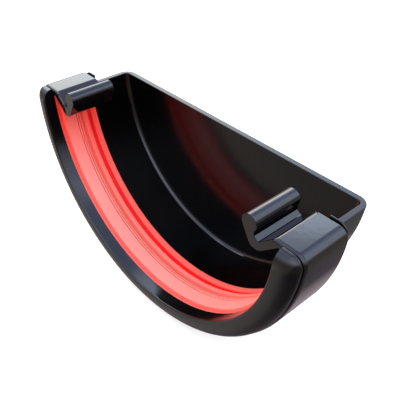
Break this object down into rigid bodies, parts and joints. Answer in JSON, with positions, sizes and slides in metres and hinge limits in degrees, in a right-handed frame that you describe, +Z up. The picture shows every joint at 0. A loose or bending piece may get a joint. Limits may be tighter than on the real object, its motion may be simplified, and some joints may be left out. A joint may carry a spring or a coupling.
{
  "type": "gutter end cap",
  "caption": "Half-round gutter end cap: a flat D-shaped end wall and trough, a rounded collar with a ribbed rubber seal, and a wrap-round strap ending in rim hooks.",
  "frame": {"origin": "on the gutter's axis, where the gutter's end butts against the inner face of the end wall", "axes": "-Y out of the open mouth along the gutter, +X across the gutter from hook to hook, +Z up"},
  "size_m": [0.142, 0.0451, 0.0733],
  "materials": {
    "shell": "glossy black moulded plastic",
    "strap": "glossy black moulded plastic",
    "seal": "smooth red rubber"
  },
  "bodies": {
    "root": {"body": "shell", "strap": "strap", "seal": "seal"}
  },
  "joints": []
}
